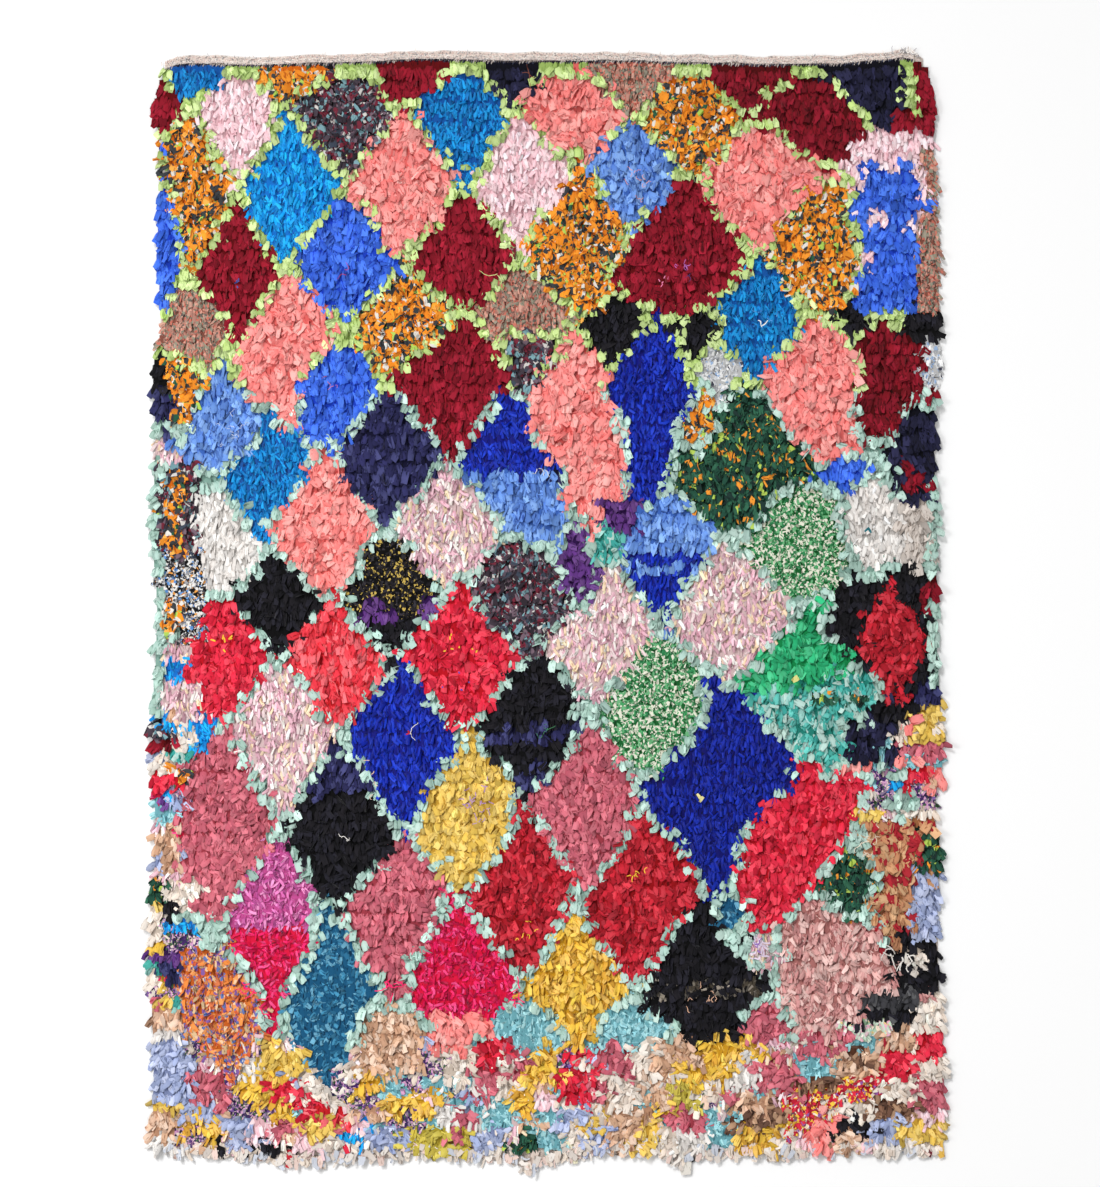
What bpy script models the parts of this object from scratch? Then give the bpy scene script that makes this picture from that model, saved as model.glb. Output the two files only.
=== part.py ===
"""Boucherouite rug, lying flat: rag knots tied row by row into a woven wool ground.

Metres, +Z up. The underside lies on Z = 0, the flat-woven end points to +Y and X runs
across the width. The rug is one piece of cloth, so it is one solid: its ground weave and
the space that its rag pile fills, thin at the woven end and at the ragged finishing end.
"""

import math

import bmesh
import bpy

# Driving sizes
HEAD_WIDTH = 1.452       # across the first rows of knots, below the woven end
FOOT_WIDTH = 1.476       # across the last rows: the weaver let the rug grow wider
LENGTH = 2.034           # from the woven end to the ragged end, without its loose tags
GROUND = 0.003           # the weave itself, which the woven end shows bare
PILE = 0.024             # mean height of the knotted field above the floor
PILE_SWELL = 0.0025      # how far the field rises and sinks over a hand's breadth
RAGGED_END = 0.006       # height of the thin finishing end, weave and a few rag ends
SELVEDGE = 0.011         # height of the pile where it hangs over the selvedges
WOVEN_END = 0.023        # length of the bare, flat-woven end
SHOULDER = 0.032         # how far in from an edge the pile reaches its full height

# Mesh: one column is two knots wide or a little more, one line is two rows of knots
COLUMNS = 54
LINES = 58

# How the selvedges wander, from the woven end down: how far each stands out of a straight
# line from its first corner to its last, left and right.
SELVEDGES = [
    # from_end   left     right
    (0.00,      -0.012,  -0.010),
    (0.05,       0.010,   0.001),
    (0.22,      -0.004,   0.001),
    (0.33,       0.002,   0.008),
    (0.50,      -0.009,   0.009),
    (0.56,       0.010,   0.010),
    (0.68,       0.002,  -0.002),
    (0.88,       0.008,   0.003),
    (1.04,      -0.002,   0.001),
    (1.16,       0.004,   0.006),
    (1.30,       0.006,   0.011),
    (1.39,       0.000,  -0.008),
    (1.47,      -0.002,   0.008),
    (1.57,       0.008,  -0.006),
    (1.74,       0.004,   0.002),
    (1.92,      -0.001,   0.010),
    (2.034,      0.003,  -0.006),
]

# Where the two ends wander: how far each stands out of a straight line, by the share of
# the width from the left selvedge.
ENDS = [
    # across  woven    ragged
    (0.00,   -0.016,  -0.012),
    (0.03,   -0.003,  -0.004),
    (0.12,   -0.006,   0.003),
    (0.19,   -0.003,   0.012),
    (0.27,    0.000,   0.008),
    (0.34,    0.005,  -0.002),
    (0.45,    0.001,   0.008),
    (0.60,    0.002,  -0.006),
    (0.70,   -0.002,   0.000),
    (0.80,   -0.005,   0.001),
    (0.87,   -0.004,  -0.010),
    (0.94,    0.004,  -0.006),
    (0.97,    0.008,  -0.005),
    (1.00,   -0.018,  -0.002),
]

# Loose tags of rag and weft that reach past the ragged end
TAGS = [
    # across  width   reach
    (0.18,    0.060,  0.008),
    (0.485,   0.050,  0.036),
    (0.525,   0.040,  0.018),
    (0.672,   0.050,  0.026),
    (0.855,   0.030,  0.016),
]

# Swells of the field: how many times each repeats over the width and the length
SWELLS = [
    # across  along  share  start
    (3.0,     4.0,   0.45,  0.4),
    (5.0,    -3.0,   0.30,  1.7),
    (-2.0,    7.0,   0.25,  2.9),
]

MADDER = (0.42, 0.10, 0.12, 1.0)
RAG_ROUGHNESS = 0.9


def between(table, where, column):
    """Read a column of a table at a place between its rows, easing from row to row."""
    for low, high in zip(table, table[1:]):
        if where <= high[0]:
            share = (where - low[0]) / (high[0] - low[0])
            share = max(0.0, share)
            eased = share * share * (3.0 - 2.0 * share)
            return low[column] + (high[column] - low[column]) * eased
    return table[-1][column]


def stations(length, count, first, last):
    """Distances along a side: the steps near both ends that the edges need, even between."""
    inner_start = first[-1]
    inner_end = length - last[-1]
    steps = count - len(first) - len(last)
    even = [inner_start + (inner_end - inner_start) * i / steps for i in range(1, steps)]
    return [0.0, *first, *even, *(length - step for step in reversed(last)), length]


def half_width(from_end):
    return (HEAD_WIDTH + (FOOT_WIDTH - HEAD_WIDTH) * from_end / LENGTH) / 2.0


def tag_reach(across):
    """How far a loose tag pushes the ragged end out at this share of the width."""
    reach = 0.0
    for middle, width, length in TAGS:
        off = abs(across - middle) * FOOT_WIDTH / (width / 2.0)
        reach = max(reach, length * (1.0 - off))
    return reach


def outline_point(across, from_end):
    """The plan position of a share of the width and a distance from the woven end."""
    left = -half_width(from_end) - between(SELVEDGES, from_end, 1)
    right = half_width(from_end) + between(SELVEDGES, from_end, 2)
    woven = LENGTH / 2.0 + between(ENDS, across, 1)
    ragged = -LENGTH / 2.0 - between(ENDS, across, 2) - tag_reach(across)
    woven_pull = max(0.0, 1.0 - from_end / (4.0 * SHOULDER))
    ragged_pull = max(0.0, 1.0 - (LENGTH - from_end) / (4.0 * SHOULDER))
    y = LENGTH / 2.0 - from_end
    y += (woven - LENGTH / 2.0) * woven_pull
    y += (ragged + LENGTH / 2.0) * ragged_pull
    return left + (right - left) * across, y


def rise(distance, edge_height, full_height):
    """Height of the rounded shoulder that the pile makes over an edge."""
    share = min(1.0, distance / SHOULDER)
    return edge_height + (full_height - edge_height) * math.sqrt(share * (2.0 - share))


def field_height(across, from_end):
    swell = 0.0
    for repeats_across, repeats_along, share, start in SWELLS:
        turn = repeats_across * across + repeats_along * from_end / LENGTH
        swell += share * math.sin(2.0 * math.pi * turn + start)
    return PILE + PILE_SWELL * swell


def top_height(across, from_end):
    """Height of the upper face: bare weave at the woven end, pile everywhere else."""
    if from_end <= WOVEN_END:
        return GROUND
    full = field_height(across, from_end)
    from_side = min(across, 1.0 - across) * 2.0 * half_width(from_end)
    return min(
        rise(from_side, SELVEDGE, full),
        rise(from_end - WOVEN_END, SELVEDGE, full),
        rise(LENGTH - from_end, RAGGED_END, full),
    )


def rug_mesh():
    """The closed solid: an uneven upper face, upright edges and one flat underside."""
    edge_steps = [0.2 * SHOULDER, SHOULDER]
    woven_steps = [WOVEN_END, WOVEN_END + edge_steps[0], WOVEN_END + SHOULDER]
    across_all = [d / HEAD_WIDTH for d in stations(HEAD_WIDTH, COLUMNS, edge_steps, edge_steps)]
    from_end_all = stations(LENGTH, LINES, woven_steps, edge_steps)

    shape = bmesh.new()
    upper = []
    lower = {}
    for line, from_end in enumerate(from_end_all):
        row = []
        for column, across in enumerate(across_all):
            x, y = outline_point(across, from_end)
            row.append(shape.verts.new((x, y, top_height(across, from_end))))
            on_side = column in (0, len(across_all) - 1)
            if on_side or line in (0, len(from_end_all) - 1):
                lower[line, column] = shape.verts.new((x, y, 0.0))
        upper.append(row)

    for line in range(len(from_end_all) - 1):
        for column in range(len(across_all) - 1):
            shape.faces.new((
                upper[line][column],
                upper[line + 1][column],
                upper[line + 1][column + 1],
                upper[line][column + 1],
            ))

    last_line = len(from_end_all) - 1
    last_column = len(across_all) - 1
    ring = [(line, 0) for line in range(last_line)]
    ring += [(last_line, column) for column in range(last_column)]
    ring += [(line, last_column) for line in range(last_line, 0, -1)]
    ring += [(0, column) for column in range(last_column, 0, -1)]
    for here, there in zip(ring, ring[1:] + ring[:1]):
        shape.faces.new((
            upper[there[0]][there[1]],
            upper[here[0]][here[1]],
            lower[here],
            lower[there],
        ))
    shape.faces.new([lower[place] for place in reversed(ring)])
    bmesh.ops.recalc_face_normals(shape, faces=shape.faces)

    xs = [vert.co.x for vert in shape.verts]
    ys = [vert.co.y for vert in shape.verts]
    middle = ((min(xs) + max(xs)) / 2.0, (min(ys) + max(ys)) / 2.0, 0.0)
    bmesh.ops.translate(shape, verts=shape.verts, vec=[-value for value in middle])

    mesh = bpy.data.meshes.new("rug")
    shape.to_mesh(mesh)
    shape.free()
    mesh.shade_smooth()
    mesh.set_sharp_from_angle(angle=math.radians(40.0))
    return mesh


def rag_pile_material():
    material = bpy.data.materials.new("rag_pile")
    material.use_nodes = True
    shader = material.node_tree.nodes["Principled BSDF"]
    shader.inputs["Base Color"].default_value = MADDER
    shader.inputs["Roughness"].default_value = RAG_ROUGHNESS
    shader.inputs["Metallic"].default_value = 0.0
    return material


def main():
    for existing in list(bpy.data.objects):
        bpy.data.objects.remove(existing, do_unlink=True)
    rug = bpy.data.objects.new("rug", rug_mesh())
    rug.data.materials.append(rag_pile_material())
    bpy.context.scene.collection.objects.link(rug)


main()
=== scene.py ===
"""Boucherouite rug: the looks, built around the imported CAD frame.

The pile is made as the weaver makes it. Rag strips are knotted onto the ground weave in rows,
and CHART says which rag goes where, in knots across and rows down from the woven end.
Every strip is a real ribbon of mesh. Units are metres and radians; +Y is the woven end.
"""

import math
from collections import namedtuple

import bmesh
import bpy
import numpy as np
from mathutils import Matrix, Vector


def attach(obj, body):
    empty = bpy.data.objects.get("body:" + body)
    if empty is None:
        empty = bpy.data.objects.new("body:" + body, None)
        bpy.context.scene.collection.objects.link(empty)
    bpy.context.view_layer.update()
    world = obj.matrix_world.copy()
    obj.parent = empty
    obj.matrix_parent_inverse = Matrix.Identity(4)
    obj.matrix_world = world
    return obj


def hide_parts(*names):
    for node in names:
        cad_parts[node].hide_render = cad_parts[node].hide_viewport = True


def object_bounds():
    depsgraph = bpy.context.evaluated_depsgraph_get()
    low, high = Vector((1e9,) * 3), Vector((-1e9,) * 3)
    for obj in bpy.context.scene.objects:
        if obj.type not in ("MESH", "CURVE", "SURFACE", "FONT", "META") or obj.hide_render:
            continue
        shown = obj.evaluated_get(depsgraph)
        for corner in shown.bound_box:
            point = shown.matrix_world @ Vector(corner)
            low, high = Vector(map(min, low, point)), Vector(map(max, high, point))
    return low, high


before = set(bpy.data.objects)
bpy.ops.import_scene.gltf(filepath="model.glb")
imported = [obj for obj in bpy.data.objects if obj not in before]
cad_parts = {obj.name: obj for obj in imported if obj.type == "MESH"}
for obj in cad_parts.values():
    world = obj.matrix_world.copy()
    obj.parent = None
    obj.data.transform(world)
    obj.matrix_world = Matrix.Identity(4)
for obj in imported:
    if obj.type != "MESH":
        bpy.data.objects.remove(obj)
cad_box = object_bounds()

# ---------------------------------------------------------------- driving sizes
KNOTS_ACROSS = 112            # knots in one row
KNOT_PITCH = 0.013            # from one knot of a row to the next
ROWS = 108                    # rows of knots
ROW_PITCH = 0.0185            # from one row of knots to the next
FIRST_ROW = 0.020             # from the woven end to the first row
SELVEDGE_INSET = 0.014        # the outer knots sit this far inside the pile's edge
HANG = 0.7                    # a strip shows this many rows below the knot that holds it
WEAVE_TOP = 0.003             # thickness of the ground weave
PILE_CEILING = 0.031          # no strip stands higher than this over the floor
PILE_SOFT_TOP = 0.019         # strips above this height are pressed down by their own weight
LIME_ROWS = 32.0              # the weaver outlines in lime down to this row and in mint after
OUTLINE_HALF = 0.46           # half the outline's width, in knots

# How unevenly the weaver works. All chance comes from one sequence, so its order matters.
RANDOM = np.random.default_rng(7421)
ROW_WAVER = 0.0034            # how far a stretch of a row strays up or down
ROW_STRETCHES = 14            # such stretches in a row
WILD_SHARE = 0.07             # a few strips turn much farther aside than the others,
WILD_TURN = 2.6               # so many times as far
RAGGED_ROW = 96.0             # below this row all strips turn farther,
RAGGED_TURN = 1.5             # so many times as far
SELVEDGE_KNOTS = 2.0          # so many knots at each side of a row are its selvedge
CALM_TURN = 0.6               # at the first row and the selvedges chance turns none further


# ---------------------------------------------------------------- small tools
def add_object(name, data):
    """Puts an object with this data into the scene."""
    made = bpy.data.objects.new(name, data)
    bpy.context.scene.collection.objects.link(made)
    return made


def colours_of(text):
    """Screen colours, each written as red,green,blue."""
    return [tuple(map(int, colour.split(","))) for colour in text.split()]


def rows_of(text):
    """A table's rows, each a word and then numbers. A line that starts with # is a note."""
    rows = []
    for line in text.strip().splitlines():
        if not line.startswith("#"):
            word, *numbers = line.split()
            rows.append((word, *map(float, numbers)))
    return rows


def to_linear(rgb):
    """An 8-bit screen colour as scene-linear values."""
    share = np.asarray(rgb, dtype=float) / 255.0
    return np.where(share <= 0.04045, share / 12.92, ((share + 0.055) / 1.055) ** 2.4)


# ---------------------------------------------------------------- rags
# Kinds of strip. strips: per knot; width, length: of one strip; spread: how far strips turn
# aside; curl: how round a strip's section is; rise: how steeply it stands; across, along: faces
# over width and length; tip: width left at the tip; pleat: depth of its folds; raised: how far
# its knots stand over the others; loose: how far its knots stray from their row.
Kind = namedtuple("Kind", "strips width length spread curl rise across along tip pleat raised loose")
KINDS = {
    "petal":  Kind(3, 0.0180, 0.0300, 0.50, 0.30, 1.00, 4, 3, 0.78, 0.0015, 0.0, 0.0030),
    "ruffle": Kind(5, 0.0124, 0.0265, 0.52, 0.35, 1.00, 2, 3, 0.80, 0.0012, 0.0, 0.0034),
    "pleat":  Kind(3, 0.0145, 0.0290, 0.26, 0.40, 1.00, 4, 3, 0.86, 0.0014, 0.0, 0.0032),
    "edge":   Kind(3, 0.0148, 0.0225, 0.42, 0.40, 1.00, 3, 3, 0.84, 0.0012, 0.004, 0.0020),
    "strip":  Kind(4, 0.0112, 0.0270, 0.50, 0.45, 1.00, 3, 3, 0.80, 0.0012, 0.0, 0.0025),
    "chop":   Kind(7, 0.0066, 0.0255, 0.36, 0.50, 0.95, 2, 3, 0.90, 0.0010, 0.0, 0.0034),
    "crumb":  Kind(8, 0.0090, 0.0185, 0.85, 0.60, 0.95, 2, 2, 0.80, 0.0012, 0.0, 0.0042),
    "fleece": Kind(6, 0.0084, 0.0260, 0.32, 0.50, 1.00, 2, 3, 0.84, 0.0009, 0.0, 0.0042),
    "thread": Kind(9, 0.0050, 0.0210, 0.85, 0.50, 1.05, 1, 4, 0.86, 0.0, 0.0, 0.0040),
}
# Painted shade deep in the pile: a dye is deepened by a power and dimmed by a
# share, most in the knots, which lie lowest, and less at the roots of the strips.
KNOT_SHADE_POWER, KNOT_SHADE_DIM = 1.50, 0.68
ROOT_SHADE_POWER, ROOT_SHADE_DIM = 1.32, 0.82
ROOT_SHADE_SHARE = 0.45             # painted shade at a strip's root reaches over this share of its length
# The knot itself, where a strip wraps its two warps, is a small arched patch.
COLLAR_WIDTH, COLLAR_LENGTH = 0.0170, 0.0215
COLLAR_LIFT, COLLAR_ARCH = 0.0015, 0.0022

# Rags: the piece that a rag's strips are joined into, their kind, their cloth and the dyes that
# they are drawn from. A printed cloth adds colours of its own.
Rag = namedtuple("Rag", "piece kind cloth dyes")


def rags_of(text):
    """Rags by name, from a table of name, piece, kind, cloth and dyes."""
    rags = {}
    for line in text.strip().splitlines():
        name, piece, kind, cloth, dyes = line.split(maxsplit=4)
        rags[name] = Rag(piece, kind, cloth, colours_of(dyes))
    return rags


RAGS = rags_of("""
lime        pile_lime edge jersey 197,219,146 210,230,162 184,209,128
mint        pile_mint edge jersey 178,208,198 194,220,210 166,196,184
azure       pile_azure chop satin 18,160,236 12,134,210 30,178,246
cobalt      pile_blue pleat jersey 66,112,228 78,126,236 54,98,208
royal       pile_blue chop satin 16,44,172 10,33,148 27,59,194
periwinkle  pile_blue pleat jersey 108,150,220 132,172,234 90,130,205
steel       pile_blue crumb jersey 64,136,172 104,164,192 38,98,132 54,118,152
aqua        pile_blue crumb jersey 156,208,216 170,220,224 140,198,208
lavender    pile_blue ruffle jersey 172,182,214 188,196,224 156,168,204
maroon      pile_maroon pleat jersey 146,20,40 130,16,34 158,28,49
midnight    pile_dark pleat jersey 31,31,57 25,25,47 44,44,76
wine        pile_maroon pleat jersey 130,16,32 115,13,28 142,22,42
ocean       pile_azure chop satin 14,132,204 8,112,182 22,150,220
deepblue    pile_blue chop satin 13,36,152 9,27,132 21,46,172
coral       pile_coral petal jersey 252,150,146 250,136,132 255,168,162
crimson     pile_red ruffle jersey 226,46,72 196,28,52 240,70,90
tomato      pile_red pleat jersey 238,72,84 222,54,68 244,110,118
navy        pile_dark pleat jersey 44,44,88 36,36,75 66,68,114
black       pile_dark strip jersey 27,25,30 20,19,24 34,33,42
palepink    pile_pink fleece fleece 252,216,222 248,204,212 254,226,230
rose        pile_rose ruffle jersey 202,106,120 186,92,108 216,120,134
mottled     pile_pink chop jersey 244,222,222 226,178,192 244,238,232 204,160,172 240,214,182 234,190,202
dustypink   pile_rose strip jersey 214,160,156 222,176,170 202,142,140 228,190,184
peach       pile_pale ruffle jersey 222,184,158 234,204,182 190,148,120 212,172,142
cream       pile_pale ruffle jersey 234,222,210 228,212,198 240,230,220
white       pile_pale fleece fleece 234,230,226 224,218,213
mustard     pile_yellow ruffle jersey 232,196,100 240,208,118 220,184,84
gold        pile_yellow strip jersey 238,194,74 240,196,100 214,162,60 246,206,96
hotpink     pile_bright thread satin 250,36,108 222,18,80 255,78,140 188,14,68
magenta     pile_bright thread satin 232,126,190 208,98,168 244,152,206 176,74,140
purple      pile_bright ruffle jersey 92,50,122 112,72,140
taupe       pile_taupe fleece speckled_taupe 178,128,114 150,142,126 190,146,130
orangeprint pile_print petal print_orange 240,150,46 232,138,36
darkprint   pile_print_dark petal print_dark 50,42,50 70,60,70
forest      pile_green strip print_forest 34,78,62 48,96,74
leaf        pile_green crumb print_leaf 60,144,88 44,122,74
emerald     pile_green ruffle jersey 48,178,120 38,160,106 76,194,138
turquoise   pile_green ruffle jersey 78,176,164 100,192,182 60,158,150 150,200,192 176,206,198
goldfleck   pile_print_dark crumb print_goldfleck 24,22,26 36,34,38
bluedot     pile_pale crumb print_bluedot 225,225,225
confetti    pile_print strip print_confetti 232,144,74 224,132,62 236,156,92 214,120,76 196,168,130
plumfetti   pile_print crumb print_plum 120,84,150 150,130,160
redfleck    pile_print petal jersey 202,152,112 208,166,126 190,134,98 178,44,54 160,36,48
cherry      pile_red ruffle jersey 192,36,52 162,24,38 210,58,72
ash         pile_dark crumb jersey 122,114,102 96,90,82 150,140,128
stone       pile_pale pleat jersey 214,204,196 198,188,180
brown       pile_pale ruffle jersey 134,98,78 104,74,60 176,140,112
charcoal    pile_dark ruffle jersey 66,66,70 52,52,56 90,90,92
olive       pile_yellow ruffle jersey 212,196,92 198,180,76
mintprint   pile_mint ruffle speckled_pink 186,212,186 200,222,200
saltprint   pile_print_dark crumb print_salt 52,50,54 70,70,76
sprigged    pile_red ruffle print_sprig 206,44,66 188,34,56
""")

# ---------------------------------------------------------------- chart
# Lozenges. col: knots from the left selvedge; row: rows from the woven end; half: half the
# width in knots; up, down: rows from the middle to the upper and lower tip; lean: knots that
# the lozenge drifts to the right with each row.
CHART = rows_of("""
# rag       col   row  half  up   down  lean
ocean 5.5 0 4.6 3.5 3.5 0
maroon -0.5 3.6 5 2.8 2.8 0
palepink 11.5 4.6 6 4 8 0
orangeprint 19.8 0 5.4 3.5 3.5 0
darkprint 26.6 4.9 7.1 5.4 5.4 0
maroon 36.2 0 6.4 3.7 3.7 0
ocean 43.5 4.6 7 4 7.8 0
midnight 51.4 0 5.1 3.7 3.7 0
coral 59.5 4.6 7.4 4 4 0
taupe 68 -0.3 7.1 5.2 5.2 0
orangeprint 76.6 5.1 6.6 5 5 0
wine 84 0 6 4.7 4.7 0
wine 94.4 5.1 8.3 4.8 4.8 0
midnight 101.2 0 7.4 5.5 7 0.35
orangeprint 5.5 12.1 5 7.8 7.8 0
azure 18.9 12.1 7.4 7.4 7.4 0
cobalt -0.5 16 4.8 9.5 9.5 0
coral 35.1 11.6 7.3 7.3 7.3 0
palepink 51.9 11.4 6.6 7.2 7.2 0
periwinkle 67.9 10 6 4 6.5 0
coral 86.7 10.1 8.1 4.4 7.5 -0.2
palepink 105 10 7 4 4 0
cobalt 103.5 17.5 7 8.5 8 0
maroon 11.5 20.9 5.7 7.5 7.5 0
cobalt 26.9 19.3 7.9 6.2 6.2 0
maroon 43.8 18.6 7.1 6 6 0
orangeprint 59.8 17.9 7.4 7.8 7.8 0
maroon 74.2 20.8 10.3 9.3 4 0
orangeprint 94.4 18.1 7.4 6.2 6 0
orangeprint 34.5 25.1 7.4 5 5 0
taupe 51.6 24.3 7.1 4.5 4.5 0
taupe 5.5 26.1 5.1 4.5 4.5 0
coral 18.4 27.6 8.1 7.2 7.2 0
ocean 84.4 25.1 8.3 6.2 6.2 0
black 64.3 25.8 5.4 3 3 0
black 76.8 25.9 5 2.8 3.2 0
black 98.2 24.8 3.2 1.9 1.9 0
orangeprint 4.4 31.8 3.4 4 4 0
periwinkle 10 35.8 5.4 5.5 5.5 0
cobalt 25.2 32.1 6.4 6 6 0
maroon 42.3 31.3 8.1 7.2 7.2 0
darkprint 52.6 28.3 4.3 3.4 3.4 0
coral 60.5 36.1 7.1 9.2 9.2 0.16
royal 70.3 33.6 6.7 9.5 9.2 0
bluedot 79.8 30.6 4.3 3.2 3.4 0
orangeprint 77.2 35.6 2.6 3.8 3.8 0
coral 93.3 31.9 7.4 8 8 0.28
wine 103.5 31.9 5.7 7.5 7.5 0
midnight 107.6 38.1 5 5.5 5.5 0
cobalt 97.6 40.2 4.2 1.6 1.6 0
navy 33.4 39.1 7.4 7 7 0
ocean 16.1 40.8 6.2 6.2 6.2 0
royal 51.2 40.1 8 7.8 8 0.3
forest 83.4 39.4 9.7 8 8 0
coral 24.4 45.4 7.5 6.8 6.8 0
mottled 41.5 45.4 7.8 6 6 0
white 10 47.9 5.1 5.2 5.2 0
periwinkle 72.6 47.6 6.8 5.2 7.6 0
purple 60.2 50.6 3.1 5 5 0
leaf 90.7 47.6 8.1 6.5 6.5 0
white 101.8 46.1 5.1 5 5 0
black 17.6 53.4 6.2 5 5 0
goldfleck 33.6 52.9 7.1 6.2 6.2 0
darkprint 52 52.6 6.8 6.2 6.2 0
mottled 63.7 56.6 7.1 7 7 0
mottled 81.3 53.9 9.3 6.5 6.5 0
black 103.2 55.9 9.3 6.5 6.5 0
crimson 10 58.8 5.7 6 6 0
tomato 25.3 59.1 7.1 6.2 6.2 0
crimson 43.4 58.6 8.2 7 7 0
emerald 93.6 61.8 8.8 7.8 7.8 0
black 53.3 65.9 6.8 6.8 6.8 0
leaf 70.6 64.3 7.9 8 8 0
mottled 18.9 66.6 7.1 7.7 7.7 0
royal 35.5 68.1 7.6 8.2 8.2 0
deepblue 79.6 71.6 11.3 10.3 10.3 0
midnight 102.6 65.9 6.5 3.5 3.5 0
rose 10.1 75.1 6.5 9.2 9.2 0
black 26.4 75.6 7.5 9 9 0
mustard 44.4 74.9 7.6 7.7 7.7 0
rose 61.2 74.1 7.6 8.6 8.6 0
crimson 89.5 77.6 9.2 8 8 -0.36
redfleck 104.8 79.1 6.3 7 7 0
forest 98.5 80.9 5.4 4 4 0
magenta 17.9 86.9 8.4 9 10.4 0
rose 35.1 84.6 7.6 7 10.5 0
cherry 52.3 82.4 7.7 8.8 8.8 0
cherry 68.9 82.6 7.7 9.2 9.2 0
steel 81.5 84.8 2.3 2.4 2.4 0
confetti 10.6 93.6 7 7.6 8 0
steel 24.7 93.6 8.4 11 8.4 0
hotpink 42.6 90.3 10.2 7.2 7 0
peach 33.3 96.6 5.4 4.4 4.4 0
gold 59.7 91.6 6.8 7 7 0
aqua 52.9 96.4 5.4 3 3 0
aqua 67.4 95.9 5.1 2.8 2.8 0
black 77.3 91.6 9.2 7.8 6.4 0
mottled 86.4 88.4 3.3 2.3 2.3 0
dustypink 94.9 89.9 8 7.6 8 0
rose 86.4 95.1 3.1 2.2 2.2 0
""")

# Changes of rag inside a lozenge: they leave the lozenge's outline alone.
BANDS = [
    # rag          over          left   right  top    bottom
    ("periwinkle", "royal",       42.0,  64.0,  41.0,  50.0),
    ("navy",       "royal",       55.0,  64.0,  40.0,  41.2),
    ("royal",      "periwinkle",  64.0,  80.0,  48.5,  50.0),
    ("royal",      "periwinkle",  64.0,  80.0,  50.6,  56.0),
    ("black",      "goldfleck",   26.0,  42.0,  55.6,  61.0),
    ("purple",     "goldfleck",   29.5,  33.4,  54.2,  55.8),
    ("purple",     "goldfleck",   37.4,  40.4,  54.0,  55.6),
    ("turquoise",  "emerald",     84.0, 104.0,  62.4,  72.0),
    ("turquoise",  "emerald",     94.0, 104.0,  60.9,  62.6),
    ("forest",     "turquoise",   93.0, 101.0,  62.4,  63.4),
    ("navy",       "black",       47.0,  60.0,  66.3,  68.0),
    ("navy",       "black",       47.0,  60.0,  70.2,  73.0),
    ("navy",       "black",       18.0,  34.0,  66.0,  73.0),
    ("hotpink",    "magenta",      8.0,  28.0,  86.9,  99.0),
    ("coral",      "hotpink",     37.3,  48.2,  95.2,  99.0),
    ("ash",        "black",       68.0,  86.0,  92.2,  93.2),
]

# Plain blocks laid over the lozenges, mostly along the selvedges.
BLOCKS = rows_of("""
# rag       left  right  top  bottom
lime -1 1.6 0 1.6
lime 9.5 14.4 0 1.7
lime 25.6 30.4 0 1.7
lime 42.2 45.8 0 1.7
lime 55 59.6 0 1.7
lime 74 78.4 0 1.7
lime 90.6 94.8 0 1.7
maroon 108.5 113 0 6
maroon 104 113 5.2 6.6
lime 106.2 108.5 0 5.2
palepink 98.6 111 7 10.2
palepink 98.6 101.2 10.2 12.8
cobalt 100.8 108.2 10.2 24.8
cobalt 98.6 103 21.8 24.8
palepink 108 110.4 10.2 12.6
palepink 107.2 109.6 14.8 18.4
palepink 100.8 103.4 14.8 16.4
palepink 99.8 102.4 18.6 20
taupe 109 113 8.5 17
taupe 107.4 113 16.5 25
black 105.5 113 24.7 27.9
black -1 2.6 29.5 33
navy -1 2.9 33 38.2
bluedot 108.2 113 27.9 33
hotpink 111 112.2 29.4 30.4
maroon 105.8 109.2 40.2 42.6
mottled 0 4.4 38.2 39.8
darkprint 0 6.6 39.8 50
orangeprint 2.2 4.4 40.2 49.6
saltprint 0.6 7.2 49.2 58.2
orangeprint 0.3 3.6 53.9 56.6
mint 0 4 56.6 58.2
mottled 0 5 58.2 59.6
azure 0.4 4.4 59.6 62
mottled 0 7.8 62 66
mint -1 1.3 36 66
purple 63.5 69 43.5 46.2
turquoise 62.8 66.6 46.2 49.4
stone 105.9 110.5 43.5 50.2
mint 109.3 113 41.6 63
maroon 108.6 111 52 54.2
""")

# Lozenges set into others with no outline of their own.
INSETS = rows_of("""
# rag       col   row  half  up  down
cherry      104.4  57.3   5.3     6     6
""")

# Where the weaver used up scraps, outside the lozenges: first a fill of the rags in the list, in
# bricks of so many knots by so many rows. A rag that is named twice is used twice as often.
SCRAPS = [
    # left  right   top    bottom  wide  tall  rags
    (-1.0,   4.4,   65.5,  98.0,   1.9,  1.2,
     "azure maroon cream turquoise orangeprint hotpink peach lavender plumfetti mustard mottled"),
    (100.5, 113.0,  65.5,  75.6,   2.6,  1.4,
     "mustard rose aqua mint cream plumfetti peach mottled coral"),
    (-1.0,  113.0,  97.6, 109.0,   2.8,  1.5,
     "peach cream plumfetti gold rose aqua white lavender cream peach mottled palepink"),
]
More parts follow.
